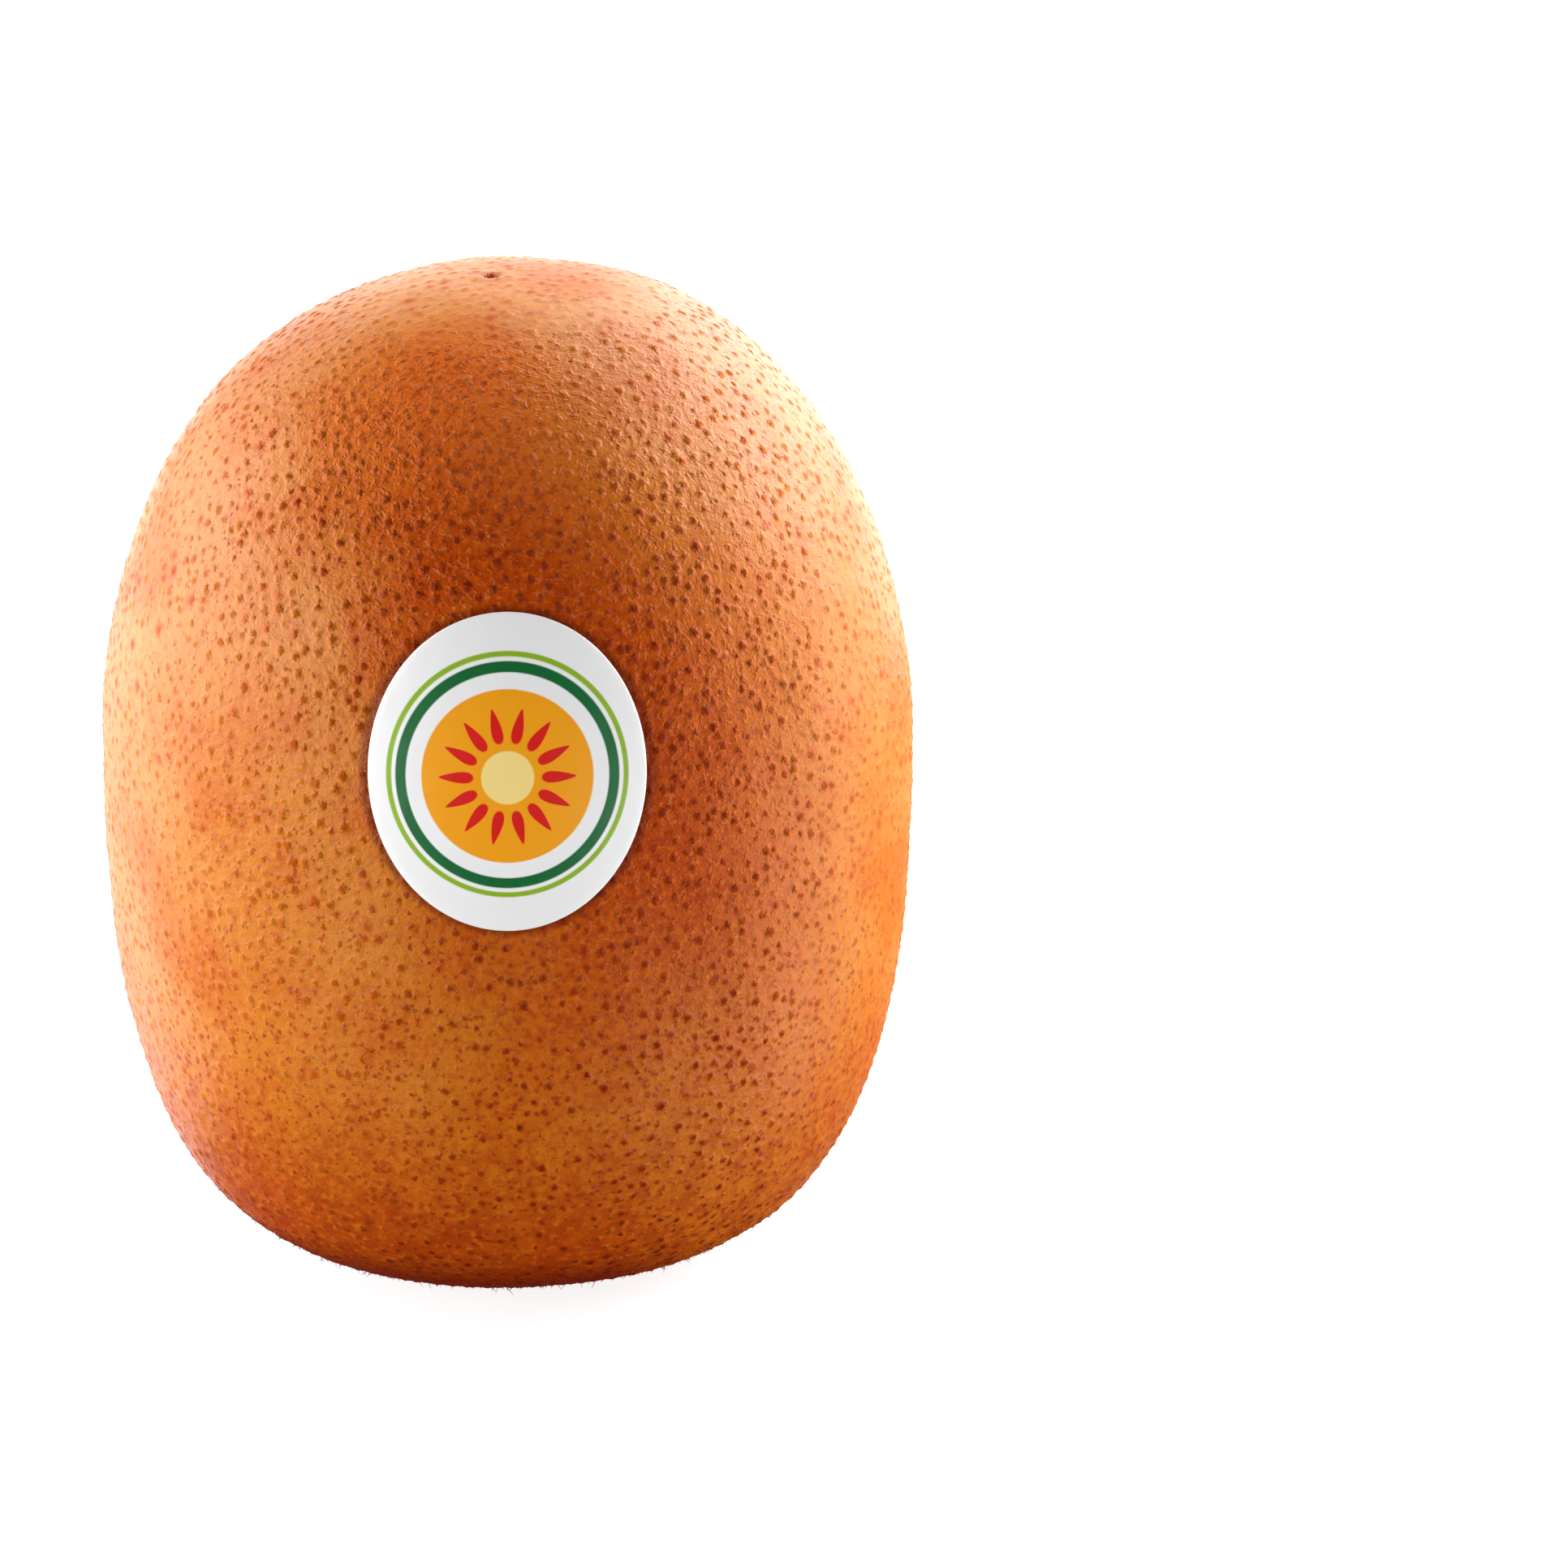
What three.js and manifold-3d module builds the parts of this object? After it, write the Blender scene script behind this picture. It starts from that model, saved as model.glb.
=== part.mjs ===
// A golden kiwi fruit standing on its stem end, with a stuck-on oval label on its front.
// Millimetres, +Z up. The origin is the middle of the resting spot, and the label faces -Y.
import * as THREE from "three";
import { mergeVertices } from "three/addons/utils/BufferGeometryUtils.js";
import Module from "manifold-3d";

const wasm = await Module();
wasm.setup();

// Driving dimensions of the fruit
const girthRadius = 27.1;
const aboveGirth = 31.8; // from the widest height up to the flower end
const belowGirth = 36.3; // from the widest height down to the untrimmed stem end
const restDepth = 0.18; // how much of the stem end lies in the flat resting spot
const girthHeight = belowGirth - restDepth;
// The half-width falls off as (1 - share^side)^(1 / end): a larger side keeps the flank straight,
// and a larger end makes the tip blunter.
const upper = { reach: aboveGirth, side: 1.95, end: 2.4 };
const lower = { reach: belowGirth, side: 2.46, end: 4.0 };

// How the fruit departs from a turned shape
const oval = 0.012; // wider across than from front to back
const lobes = 0.005; // three faint flats round the girth
const lobeTurn = 1.1;
const crownTilt = 0.028; // the right shoulder stands a little higher
const crownFrom = 0.75; // share of the way up where the tilt sets in

// Skin dots, larger than life because the real ones are under a millimetre across
const dotHeight = 0.18;
const dotSpread = 0.45; // share by which the heights vary
const skinDetail = 21;

// Stem end and flower end
const cavityRadius = 4.3;
const cavityDepth = 1.1;
const scarRadius = 2.7;
const scarRise = 0.45; // the scar stays this far above the surface that the fruit stands on
const flowerOffset = -0.8; // the dried flower end sits left of the middle
const pitRadius = 1.5;
const pitDepth = 0.35;
const pitMouth = 0.35; // how far the pit's wall rises above the crown before it runs straight
const styleCount = 7;
const styleLength = 1.15;
const styleSpread = 0.2; // share by which the lengths vary
const styleFootRadius = 0.27;
const styleTipRadius = 0.13;
const styleRoot = 0.8; // how deep the styles start below the crown
const styleLean = 0.35; // radians, at least, for all but the middle one

// Label
const labelWidth = 18.7;
const labelHeight = 20.9;
const labelThickness = 0.3;
const labelGap = 0.1;
const labelRise = 5.2; // its middle is this far above the girth
const labelAzimuth = -Math.PI / 2;

const meridianSteps = 720;
const seed = 20417;

// A small seeded random source, so that every build is the same.
function randomFrom(start) {
  let state = start;
  return () => {
    state = (Math.imul(state, 1664525) + 1013904223) >>> 0;
    return state / 4294967296;
  };
}

function halfWidth(rise) {
  const end = rise > 0 ? upper : lower;
  const share = Math.min(1, Math.abs(rise) / end.reach);
  return girthRadius * (1 - share ** end.side) ** (1 / end.end);
}

// The meridian from the flower end to the stem end, with the share of the skin's area above each point.
function makeMeridian() {
  const points = [];
  let area = 0;
  for (let i = 0; i <= meridianSteps; i += 1) {
    const along = Math.cos((Math.PI * i) / meridianSteps);
    const rise = along * (along > 0 ? aboveGirth : belowGirth);
    const radius = halfWidth(rise);
    const last = points[i - 1];
    if (last) area += (radius + last.radius) * Math.hypot(radius - last.radius, rise - last.rise);
    points.push({ rise, radius, area });
  }
  points.forEach((point) => (point.area /= area));
  return points;
}

const meridian = makeMeridian();

function riseAtArea(area) {
  const next = Math.max(1, meridian.findIndex((point) => point.area >= area));
  const [a, b] = [meridian[next - 1], meridian[next]];
  const share = (area - a.area) / Math.max(b.area - a.area, 1e-9);
  return {
    rise: THREE.MathUtils.lerp(a.rise, b.rise, share),
    radius: THREE.MathUtils.lerp(a.radius, b.radius, share),
  };
}

// Puts a point of the turned shape on the slightly uneven fruit.
function uneven(azimuth, rise, radius) {
  const swell = 1 + oval * Math.cos(2 * azimuth) + lobes * Math.cos(3 * azimuth + lobeTurn);
  const x = radius * swell * Math.cos(azimuth);
  const y = radius * swell * Math.sin(azimuth);
  const crown = THREE.MathUtils.smoothstep(rise / aboveGirth, crownFrom, 1);
  return new THREE.Vector3(x, y, girthHeight + rise + crownTilt * crown * x);
}

const onSkin = (azimuth, rise) => uneven(azimuth, rise, halfWidth(rise));

// The outward direction of the skin at a point away from the two ends.
function skinNormal(azimuth, rise) {
  const step = 1e-3;
  const round = onSkin(azimuth + step, rise).sub(onSkin(azimuth - step, rise));
  const up = onSkin(azimuth, rise + step).sub(onSkin(azimuth, rise - step));
  return round.cross(up).normalize();
}

// True under the label and just round it, where the skin is pressed smooth.
function underLabel(azimuth, rise) {
  const across = (azimuth - labelAzimuth) * girthRadius;
  const up = rise - labelRise;
  return Math.hypot(across / (labelWidth / 2 + 1), up / (labelHeight / 2 + 1)) < 1;
}

// Picks vertices at random so that no two of them share an edge.
function pickDots(geometry, random) {
  const count = geometry.attributes.position.count;
  const near = Array.from({ length: count }, () => []);
  const index = geometry.index.array;
  for (let i = 0; i < index.length; i += 3) {
    const corners = [index[i], index[i + 1], index[i + 2]];
    corners.forEach((v) => near[v].push(...corners.filter((w) => w !== v)));
  }
  const order = Array.from({ length: count }, (_, v) => ({ v, draw: random() }));
  order.sort((a, b) => a.draw - b.draw);
  const dots = new Set();
  order.forEach(({ v }) => {
    if (!near[v].some((w) => dots.has(w))) dots.add(v);
  });
  return dots;
}

function closedFrom(geometry) {
  geometry.deleteAttribute("normal");
  geometry.deleteAttribute("uv");
  return mergeVertices(geometry, 1e-4);
}

// The skin as one closed mesh: an even ball of small triangles drawn out to the fruit's shape.
function makeSkin() {
  const random = randomFrom(seed);
  const geometry = closedFrom(new THREE.IcosahedronGeometry(1, skinDetail));
  const position = geometry.attributes.position;
  const dots = pickDots(geometry, random);
  const point = new THREE.Vector3();
  for (let i = 0; i < position.count; i += 1) {
    point.fromBufferAttribute(position, i).normalize();
    const azimuth = Math.atan2(point.y, point.x);
    const { rise, radius } = riseAtArea((1 - point.z) / 2);
    const place = uneven(azimuth, rise, radius);
    const height = dotHeight * (1 + dotSpread * (2 * random() - 1));
    const plain = Math.min(place.z, girthHeight + aboveGirth - place.z) < 1;
    if (dots.has(i) && !plain && !underLabel(azimuth, rise)) {
      place.addScaledVector(skinNormal(azimuth, rise), height);
    }
    position.setXYZ(i, place.x, place.y, Math.max(0, place.z));
  }
  return geometry;
}

function solidOf(geometry) {
  const numProp = 3;
  const vertProperties = geometry.attributes.position.array;
  const triVerts = new Uint32Array(geometry.index.array);
  return new wasm.Manifold(new wasm.Mesh({ numProp, vertProperties, triVerts }));
}

function geometryOf(solid) {
  const mesh = solid.getMesh();
  const geometry = new THREE.BufferGeometry();
  geometry.setAttribute("position", new THREE.BufferAttribute(mesh.vertProperties, 3));
  geometry.setIndex(new THREE.BufferAttribute(mesh.triVerts, 1));
  geometry.computeVertexNormals();
  return geometry;
}

// A turned solid standing on +Z, from [radius, height] pairs that run upwards.
function turned(outline, sides) {
  const points = outline.map(([radius, height]) => new THREE.Vector2(radius, height));
  return closedFrom(new THREE.LatheGeometry(points, sides).rotateX(Math.PI / 2));
}

// The shallow hollow round the stalk's scar.
function stemCavity() {
  const outline = [
    [0, -1],
    [cavityRadius, -1],
    [cavityRadius, 0],
    [cavityRadius * 0.86, cavityDepth * 0.5],
    [cavityRadius * 0.62, cavityDepth],
    [0, cavityDepth],
  ];
  return turned(outline, 20);
}

// The woody scar where the stalk broke off: a raised rim round a dished face.
function stemScar() {
  const outline = [
    [0, scarRise + 0.35],
    [scarRadius * 0.55, scarRise + 0.25],
    [scarRadius * 0.78, scarRise],
    [scarRadius, scarRise + 0.2],
    [scarRadius * 1.05, cavityDepth + 1.5],
    [0, cavityDepth + 1.5],
  ];
  return turned(outline, 16);
}

function flowerEnd() {
  return uneven(Math.PI, aboveGirth, -flowerOffset);
}

// The small pit at the flower end.
function flowerPit() {
  const outline = [
    [0, -pitDepth],
    [pitRadius * 0.5, -pitDepth * 0.8],
    [pitRadius, pitMouth],
    [pitRadius, pitMouth + 1],
    [0, pitMouth + 1],
  ];
  const { x, y, z } = flowerEnd();
  return turned(outline, 12).translate(x, y, z);
}

// One dried style: a thin stub that leans out from the middle of the pit.
function driedStyle(i, random) {
  const length = styleLength * (1 + styleSpread * (2 * random() - 1));
  const lean = i === 0 ? 0 : styleLean * (1 + random());
  const round = (2 * Math.PI * (i + 0.4 * random())) / (styleCount - 1);
  const stub = new THREE.CylinderGeometry(styleTipRadius, styleFootRadius, length, 6);
  stub.translate(0, length / 2, 0);
  const { x, y, z } = flowerEnd();
  stub.rotateX(Math.PI / 2).rotateY(lean).rotateZ(round);
  return closedFrom(stub.translate(x, y, z - styleRoot));
}

function makeFruit() {
  const random = randomFrom(seed + 1);
  let solid = solidOf(makeSkin()).subtract(solidOf(stemCavity())).subtract(solidOf(flowerPit()));
  solid = solid.add(solidOf(stemScar()));
  for (let i = 0; i < styleCount; i += 1) solid = solid.add(solidOf(driedStyle(i, random)));
  return geometryOf(solid);
}

// The label as a flat oval of rings, wrapped over the skin just clear of it.
function makeLabel() {
  const rings = 7;
  const outline = [];
  for (let i = 0; i <= rings; i += 1) outline.push(new THREE.Vector2(i / rings, 0));
  for (let i = rings; i >= 0; i -= 1) outline.push(new THREE.Vector2(i / rings, 1));
  const geometry = closedFrom(new THREE.LatheGeometry(outline, 40).rotateX(Math.PI / 2));
  const position = geometry.attributes.position;
  for (let i = 0; i < position.count; i += 1) {
    const rise = labelRise + (position.getY(i) * labelHeight) / 2;
    const azimuth = labelAzimuth + (position.getX(i) * labelWidth) / 2 / halfWidth(rise);
    const height = labelGap + labelThickness * position.getZ(i);
    const place = onSkin(azimuth, rise).addScaledVector(skinNormal(azimuth, rise), height);
    position.setXYZ(i, place.x, place.y, place.z);
  }
  geometry.computeVertexNormals();
  return geometry;
}

function named(name, geometry, finish) {
  const mesh = new THREE.Mesh(geometry, new THREE.MeshStandardMaterial(finish));
  mesh.name = name;
  return mesh;
}

const kiwi = new THREE.Group();
kiwi.add(
  named("fruit", makeFruit(), { color: 0xc0682a, roughness: 0.62, metalness: 0 }),
  named("fruit_label", makeLabel(), { color: 0xf4f4f0, roughness: 0.4, metalness: 0 }),
);

export default kiwi;
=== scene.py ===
# A golden kiwi fruit with its stuck-on label, dressed for a studio picture.
# Metres, +Z up. It stands on its stem end, and the label faces -Y.
import math

import bmesh
import bpy
import numpy as np
from mathutils import Matrix, Vector, kdtree, noise


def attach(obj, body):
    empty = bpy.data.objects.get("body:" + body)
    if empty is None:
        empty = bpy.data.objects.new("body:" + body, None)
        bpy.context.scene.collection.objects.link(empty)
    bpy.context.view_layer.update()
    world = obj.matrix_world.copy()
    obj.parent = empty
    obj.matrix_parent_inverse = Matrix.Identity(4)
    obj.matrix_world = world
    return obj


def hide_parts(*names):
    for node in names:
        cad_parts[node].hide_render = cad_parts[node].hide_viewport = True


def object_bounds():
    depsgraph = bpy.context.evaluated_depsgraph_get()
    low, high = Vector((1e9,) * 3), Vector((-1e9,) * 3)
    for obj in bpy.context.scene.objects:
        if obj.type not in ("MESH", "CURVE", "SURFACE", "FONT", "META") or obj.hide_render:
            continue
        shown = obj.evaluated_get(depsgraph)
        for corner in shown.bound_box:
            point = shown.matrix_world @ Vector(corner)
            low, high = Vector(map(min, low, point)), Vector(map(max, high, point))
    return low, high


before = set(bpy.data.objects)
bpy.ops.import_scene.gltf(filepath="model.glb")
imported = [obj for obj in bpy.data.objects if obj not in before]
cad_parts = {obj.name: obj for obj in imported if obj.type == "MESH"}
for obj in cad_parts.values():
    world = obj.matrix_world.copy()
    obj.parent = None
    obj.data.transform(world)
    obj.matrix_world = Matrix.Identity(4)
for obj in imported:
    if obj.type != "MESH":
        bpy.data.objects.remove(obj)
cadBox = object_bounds()
boxCorners = np.array(cadBox)
print("frame loaded")

millimetre = 0.001
draws = np.random.default_rng(20417)  # every random draw in the scene comes from here


# The fruit's form, the same formula as its solid

fruitForm = {
    "girthRadius": 0.0271,
    "aboveGirth": 0.0318,  # from the widest height up to the flower end
    "belowGirth": 0.0363,  # from the widest height down to the untrimmed stem end
    "restDepth": 0.00018,  # how much of the stem end lies in the flat resting spot
    "upperSide": 1.95,  # a larger side keeps the flank straight
    "upperEnd": 2.4,  # a larger end makes the tip blunter
    "lowerSide": 2.46,
    "lowerEnd": 4.0,
    "oval": 0.012,
    "lobes": 0.005,
    "lobeTurn": 1.1,
    "crownTilt": 0.028,
    "crownFrom": 0.75,
    "cavityRadius": 0.0043,
    "cavityDepth": 0.0011,
    "flowerOffset": -0.0008,
    "meridianSteps": 720,
}
girthHeight = fruitForm["belowGirth"] - fruitForm["restDepth"]


def smoothStep(low, high, value):
    share = np.clip((value - low) / (high - low), 0, 1)
    return share * share * (3 - 2 * share)


def halfWidth(rise):
    above = rise > 0
    reach = np.where(above, fruitForm["aboveGirth"], fruitForm["belowGirth"])
    side = np.where(above, fruitForm["upperSide"], fruitForm["lowerSide"])
    end = np.where(above, fruitForm["upperEnd"], fruitForm["lowerEnd"])
    share = np.minimum(1, np.abs(rise) / reach)
    return fruitForm["girthRadius"] * (1 - share**side) ** (1 / end)


def unevenPoints(azimuth, rise, radius):
    # puts points of the turned shape on the slightly uneven fruit
    swell = 1 + fruitForm["oval"] * np.cos(2 * azimuth)
    swell = swell + fruitForm["lobes"] * np.cos(3 * azimuth + fruitForm["lobeTurn"])
    x = radius * swell * np.cos(azimuth)
    y = radius * swell * np.sin(azimuth)
    crown = smoothStep(fruitForm["crownFrom"], 1, rise / fruitForm["aboveGirth"])
    return np.stack([x, y, girthHeight + rise + fruitForm["crownTilt"] * crown * x], axis=-1)


def skinPoints(azimuth, rise):
    return unevenPoints(azimuth, rise, halfWidth(rise))


def skinNormals(azimuth, rise):
    step = 1e-5
    around = skinPoints(azimuth + step, rise) - skinPoints(azimuth - step, rise)
    upwards = skinPoints(azimuth, rise + step) - skinPoints(azimuth, rise - step)
    normals = np.cross(around, upwards)
    return normals / np.linalg.norm(normals, axis=-1, keepdims=True)


def equalAreaPlace(share):
    # the height above the girth and the radius with that share of the turned skin's area above them
    along = np.cos(np.linspace(0, math.pi, fruitForm["meridianSteps"] + 1))
    rise = along * np.where(along > 0, fruitForm["aboveGirth"], fruitForm["belowGirth"])
    radius = halfWidth(rise)
    strips = (radius[1:] + radius[:-1]) * np.hypot(np.diff(radius), np.diff(rise))
    area = np.concatenate([[0], np.cumsum(strips)]) / strips.sum()
    return np.interp(share, area, rise), np.interp(share, area, radius)


flowerCentre = unevenPoints(
    np.array(math.pi), np.array(fruitForm["aboveGirth"]), np.array(-fruitForm["flowerOffset"])
)


# Mesh and piece helpers

def readPoints(mesh):
    points = np.empty(len(mesh.vertices) * 3, np.float32)
    mesh.vertices.foreach_get("co", points)
    return points.reshape(-1, 3).astype(float)


def writePoints(mesh, points):
    mesh.vertices.foreach_set("co", points.astype(np.float32).ravel())
    mesh.update()


def meshFrom(shape, name, smooth=True):
    mesh = bpy.data.meshes.new(name)
    shape.to_mesh(mesh)
    shape.free()
    mesh.polygons.foreach_set("use_smooth", [smooth] * len(mesh.polygons))
    return mesh


def turnedMesh(outline, sides, name):
    # an outline of radius and height pairs, turned once round the upright axis
    shape = bmesh.new()
    corners = [shape.verts.new((radius, 0, height)) for radius, height in outline]
    edges = [shape.edges.new(pair) for pair in zip(corners, corners[1:])]
    bmesh.ops.spin(
        shape, geom=corners + edges, cent=(0, 0, 0), axis=(0, 0, 1), angle=2 * math.pi,
        steps=sides, use_merge=True, use_duplicate=False,
    )
    bmesh.ops.remove_doubles(shape, verts=shape.verts[:], dist=1e-6)
    bmesh.ops.recalc_face_normals(shape, faces=shape.faces[:])
    return meshFrom(shape, name)


def addPiece(mesh, finish, replaced=None):
    piece = bpy.data.objects.new(mesh.name, mesh)
    bpy.context.scene.collection.objects.link(piece)
    mesh.materials.append(finish)
    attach(piece, "root")
    if replaced:
        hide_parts(replaced)


def mixed(a, b, share):
    return a + (b - a) * share


# Material helpers

class Wire:
    # a node's output that plain arithmetic can be written on

    def __init__(self, tree, socket):
        self.tree = tree
        self.socket = socket

    def node(self, kind, settings, inputs, output=0):
        made = self.tree.nodes.new("ShaderNode" + kind)
        for name, value in settings.items():
            setattr(made, name, value)
        for name, value in inputs.items():
            if isinstance(value, Wire):
                self.tree.links.new(value.socket, made.inputs[name])
            else:
                made.inputs[name].default_value = value
        return Wire(self.tree, made.outputs[output])

    def maths(self, operation, first, second):
        return self.node("Math", {"operation": operation}, {0: first, 1: second})

    def __add__(self, other):
        return self.maths("ADD", self, other)

    __radd__ = __add__

    def __mul__(self, other):
        return self.maths("MULTIPLY", self, other)

    __rmul__ = __mul__

    def __sub__(self, other):
        return self.maths("SUBTRACT", self, other)

    def __rsub__(self, other):
        return self.maths("SUBTRACT", other, self)

    def __truediv__(self, other):
        return self.maths("DIVIDE", self, other)

    def highest(self, other):
        return self.maths("MAXIMUM", self, other)

    def absolute(self):
        return self.node("Math", {"operation": "ABSOLUTE"}, {0: self})

    def fade(self, low, high):
        # 0 below low, 1 above high and smooth between, and the other way round where low is the larger
        settings = {"interpolation_type": "SMOOTHSTEP"}
        ends = (low, high, 0.0, 1.0) if low < high else (high, low, 1.0, 0.0)
        inputs = {0: self, 1: ends[0], 2: ends[1], 3: ends[2], 4: ends[3]}
        return self.node("MapRange", settings, inputs)

    def blend(self, other, share):
        # this colour turning to the other by the share
        inputs = {0: share, 6: self, 7: other}
        return self.node("Mix", {"data_type": "RGBA"}, inputs, 2)

    def grain(self, scale, detail=2.0, roughness=0.5, output=0):
        inputs = {"Vector": self, "Scale": scale, "Detail": detail, "Roughness": roughness}
        return self.node("TexNoise", {}, inputs, output)

    def cells(self, scale):
        # the distance to the nearest of many scattered points
        return self.node("TexVoronoi", {"feature": "F1"}, {"Vector": self, "Scale": scale})

    def vector(self, operation, other, output=0):
        return self.node("VectorMath", {"operation": operation}, {0: self, 1: other}, output)

    def scaled(self, factor):
        return self.node("VectorMath", {"operation": "SCALE"}, {0: self, "Scale": factor})

    def part(self, number):
        return self.node("SeparateXYZ", {}, {0: self}, number)

    def colour(self, value):
        # a plain colour in the same tree
        made = self.node("RGB", {}, {})
        made.socket.default_value = value
        return made

    def layered(self, colours, layers):
        # the named colours laid over this one in turn, each by its share
        base = self
        for name, share in layers:
            base = base.blend(colours[name], share)
        return base


def newFinish(name, constants):
    # a material whose shader has these constants, with its points in millimetres
    finish = bpy.data.materials.new(name)
    finish.use_nodes = True
    tree = finish.node_tree
    shader = tree.nodes["Principled BSDF"]
    for socket, value in constants.items():
        shader.inputs[socket].default_value = value
    place = Wire(tree, None).node("TexCoord", {}, {}, 3)
    return finish, shader, place.scaled(1 / millimetre)


def plug(shader, wires):
    for socket, wire in wires.items():
        wire.tree.links.new(wire.socket, shader.inputs[socket])


def bumped(height, distance):
    return height.node("Bump", {}, {"Height": height, "Distance": distance, "Strength": 1.0})


# Skin

skinSettings = {
    "cells": 128,  # along each side of the cube that the ball starts from
    "scatter": 0.3,  # how far a point may stray, as a share of a cell
    "swellHeight": 0.00013,
    "swellSize": 0.0075,
    "dotGap": (0.00050, 0.00118),
    "dotRadius": (0.00016, 0.00034),
    "dotHeight": (0.00004, 0.00010),
    "dotFoot": 0.00036,  # radius of a dot's raised foot, at least
    "dotSizePower": 1.1,  # above 1 for more small dots than large ones
    "dotFootShare": 1.35,  # the same as a share of the dot's own radius
    "bareFoot": 0.0006,  # no dots this low
    "barePit": 1.2,  # nor this near to the flower end, in radii of its pit
    "bareLabel": 0.0002,  # nor this near to the label
    "pitRadius": 0.0008,
    "pitDepth": 0.00012,
    "pitRim": 0.00008,
    "pitRimPlace": 1.15,  # in radii of the pit
    "pitRimWidth": 0.35,
}
labelForm = {
    "width": 0.0187,
    "height": 0.0209,
    "thickness": 0.00014,
    "gap": 0.00010,
    "rise": 0.0052,  # of its middle above the girth
    "azimuth": -math.pi / 2,
    "flat": 0.985,  # share of its radius inside the rounded edge
    "bend": (0.8, 1.57, 2.34),  # where the rounded edge has its points, in radians
    "rings": 26,
    "sides": 160,
}


def shareOfLabel(points, margin):
    # under 1 inside the label's outline grown by the margin
    azimuth = np.arctan2(points[:, 1], points[:, 0])
    across = (azimuth - labelForm["azimuth"]) * fruitForm["girthRadius"]
    up = points[:, 2] - girthHeight - labelForm["rise"]
    across = across / (labelForm["width"] / 2 + margin)
    return np.hypot(across, up / (labelForm["height"] / 2 + margin))


def makeSkinBall():
    ball = bmesh.new()
    bmesh.ops.create_cube(ball, size=2)
    cuts = skinSettings["cells"] - 1
    bmesh.ops.subdivide_edges(ball, edges=ball.edges[:], cuts=cuts, use_grid_fill=True)
    return meshFrom(ball, "kiwi_skin")


def shapeSkin(mesh):
    cube = readPoints(mesh)
    cell = 2 / skinSettings["cells"]
    cube = cube + draws.uniform(-0.5, 0.5, cube.shape) * cell * skinSettings["scatter"] * 2
    ball = np.tan(cube * math.pi / 4)
    ball = ball / np.linalg.norm(ball, axis=1, keepdims=True)
    rise, radius = equalAreaPlace((1 - ball[:, 2]) / 2)
    points = unevenPoints(np.arctan2(ball[:, 1], ball[:, 0]), rise, radius)
    writePoints(mesh, points)
    return points


def vertexNormals(mesh):
    normals = np.empty(len(mesh.vertices) * 3, np.float32)
    mesh.vertex_normals.foreach_get("vector", normals)
    return normals.reshape(-1, 3).astype(float)


def treeOf(points):
    tree = kdtree.KDTree(len(points))
    for number, point in enumerate(points):
        tree.insert(point, number)
    tree.balance()
    return tree


def pickDots(points):
    # takes points in random order, each one keeping others at a distance of its own
    tree = treeOf(points)
    free = points[:, 2] > skinSettings["bareFoot"]
    bare = skinSettings["pitRadius"] * skinSettings["barePit"]
    free &= np.linalg.norm(points - flowerCentre, axis=1) > bare
    free &= shareOfLabel(points, skinSettings["bareLabel"]) > 1
    low, high = skinSettings["dotGap"]
    dots = []
    for number in draws.permutation(len(points)):
        if free[number]:
            dots.append(number)
            gap = mixed(low, high, draws.random())
            for _, near, _ in tree.find_range(points[number], gap):
                free[near] = False
    return np.array(dots)


def raiseSkin(mesh, points):
    normals = vertexNormals(mesh)
    swellSize = skinSettings["swellSize"]
    swell = np.array([noise.noise(Vector(point) / swellSize) for point in points])
    clear = smoothStep(0.0, 0.004, points[:, 2]) * smoothStep(1.0, 1.25, shareOfLabel(points, 0))
    height = swell * skinSettings["swellHeight"] * clear

    dots = pickDots(points)
    size = draws.random(len(dots)) ** skinSettings["dotSizePower"]
    radius = mixed(*skinSettings["dotRadius"], size)
    lift = mixed(*skinSettings["dotHeight"], size * 0.6 + draws.random(len(dots)) * 0.4)
    tree = treeOf(points[dots])
    found = [tree.find(point) for point in points]
    nearest = np.array([number for _, number, _ in found])
    distance = np.array([away for _, _, away in found])
    foot = np.maximum(skinSettings["dotFoot"], radius[nearest] * skinSettings["dotFootShare"])
    height += lift[nearest] * smoothStep(1, 0, distance / foot)

    # the flower end's pit and the hollow round the stalk's scar
    away = np.linalg.norm((points - flowerCentre)[:, :2], axis=1) / skinSettings["pitRadius"]
    atCrown = points[:, 2] > girthHeight
    pit = smoothStep(1, 0.25, away) * skinSettings["pitDepth"]
    fromRim = (away - skinSettings["pitRimPlace"]) / skinSettings["pitRimWidth"]
    rim = np.exp(-(fromRim**2)) * skinSettings["pitRim"]
    height += np.where(atCrown, rim - pit, 0)
    points = points + normals * height[:, None]
    fromScar = np.hypot(points[:, 0], points[:, 1]) / fruitForm["cavityRadius"]
    hollow = smoothStep(1, 0.6, fromScar) * fruitForm["cavityDepth"]
    points[:, 2] = np.where(atCrown, points[:, 2], np.maximum(points[:, 2], hollow))
    writePoints(mesh, np.clip(points, *boxCorners))
    return dots, radius, size


def noteDots(mesh, points, dots, radius, size):
    # each face knows its nearest dot, so the material can draw that dot at full sharpness
    tree = treeOf(points[dots])
    nearest = np.array([tree.find(face.center)[1] for face in mesh.polygons])
    dark = np.clip(0.55 + 0.4 * size + draws.normal(0, 0.2, len(dots)), 0.2, 1)
    red = draws.random(len(dots))
    look = np.stack([radius / millimetre, dark, red], axis=1)
    for name, values in (("dotCentre", points[dots] / millimetre), ("dotLook", look)):
        attribute = mesh.attributes.new(name, "FLOAT_VECTOR", "FACE")
        attribute.data.foreach_set("vector", values[nearest].astype(np.float32).ravel())


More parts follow.
